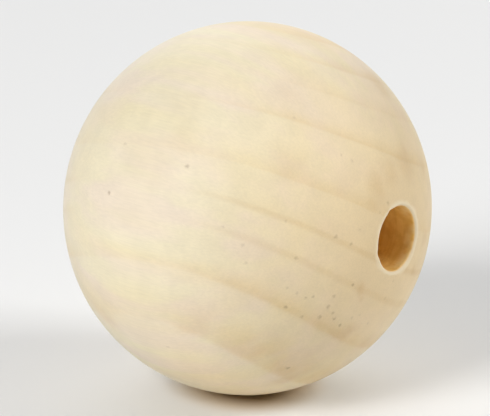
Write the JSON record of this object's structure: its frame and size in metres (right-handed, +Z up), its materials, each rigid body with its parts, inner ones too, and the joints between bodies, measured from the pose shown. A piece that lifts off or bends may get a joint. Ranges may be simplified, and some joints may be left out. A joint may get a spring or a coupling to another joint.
{
  "type": "wooden ball",
  "caption": "Turned wooden ball with a plain hole drilled right through its centre and eased mouths, to go on a rod, dowel or cord.",
  "frame": {"origin": "centre of the ball, on the bore's axis and midway between its mouths", "axes": "+X along the bore and out of the mouth that the picture shows, +Z up with the bore level"},
  "size_m": [0.0288, 0.03, 0.03],
  "materials": {
    "wood": "bare pale wood, turned and sanded smooth, satin, with growth layers that run along the bore"
  },
  "bodies": {
    "root": {"ball": "wood"}
  },
  "joints": []
}
